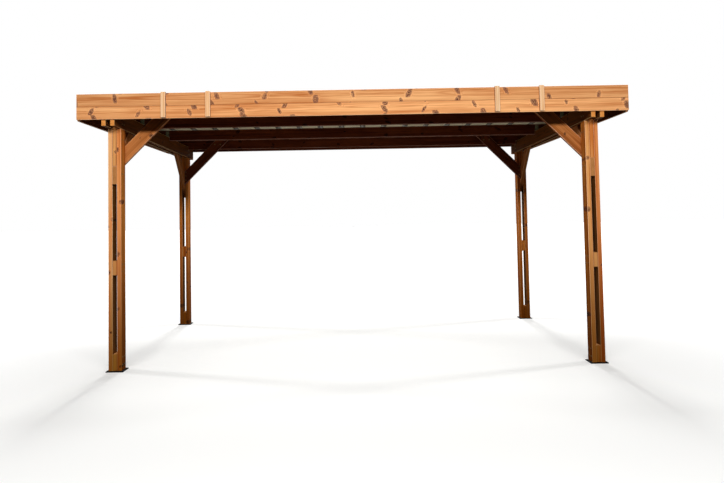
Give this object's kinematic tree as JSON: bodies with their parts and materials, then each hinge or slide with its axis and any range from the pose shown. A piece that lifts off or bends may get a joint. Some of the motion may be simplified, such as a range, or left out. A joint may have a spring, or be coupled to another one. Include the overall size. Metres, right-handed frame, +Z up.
{
  "type": "timber carport",
  "caption": "Open free-standing carport of layered timber posts with angled braces, a flat falling roof of trapezoidal steel sheets and a board fascia on three sides.",
  "frame": {"origin": "bottom centre of the whole carport, on the ground", "axes": "+X along the long side with the fascia's cover battens on the -Y face, +Y to the rear where the roof falls, +Z up"},
  "size_m": [4.97, 3.185, 2.527],
  "materials": {
    "post_timber": "oiled larch, sawn and planed",
    "beam_timber": "oiled larch, planed",
    "fascia_timber": "oiled larch boards with knots",
    "batten_timber": "pale planed softwood",
    "base_plate": "black powder coat",
    "bracket": "galvanised",
    "roof_sheet": "pale coated sheet steel"
  },
  "bodies": {
    "root": {"base_plates": "base_plate", "front_left_post_outer_board": "post_timber", "front_left_post_inner_board": "post_timber", "front_left_post_blocks": "post_timber", "front_right_post_outer_board": "post_timber", "front_right_post_inner_board": "post_timber", "front_right_post_blocks": "post_timber", "rear_left_post_outer_board": "post_timber", "rear_left_post_inner_board": "post_timber", "rear_left_post_blocks": "post_timber", "rear_right_post_outer_board": "post_timber", "rear_right_post_inner_board": "post_timber", "rear_right_post_blocks": "post_timber", "left_outer_beam": "beam_timber", "left_inner_beam": "beam_timber", "right_inner_beam": "beam_timber", "right_outer_beam": "beam_timber", "front_left_cross_brace": "beam_timber", "front_right_cross_brace": "beam_timber", "rear_left_cross_brace": "beam_timber", "rear_right_cross_brace": "beam_timber", "front_left_long_brace": "beam_timber", "front_right_long_brace": "beam_timber", "rear_left_long_brace": "beam_timber", "rear_right_long_brace": "beam_timber", "front_rim": "beam_timber", "purlin_1": "beam_timber", "purlin_2": "beam_timber", "purlin_3": "beam_timber", "purlin_4": "beam_timber", "rear_rim": "beam_timber", "angle_brackets": "bracket", "front_fascia_lower": "fascia_timber", "front_fascia_upper": "fascia_timber", "left_fascia_lower": "fascia_timber", "left_fascia_upper": "fascia_timber", "right_fascia_lower": "fascia_timber", "right_fascia_upper": "fascia_timber", "cover_battens": "batten_timber", "roof_sheet_1": "roof_sheet", "roof_sheet_2": "roof_sheet", "roof_sheet_3": "roof_sheet", "roof_sheet_4": "roof_sheet", "roof_sheet_5": "roof_sheet"}
  },
  "joints": []
}
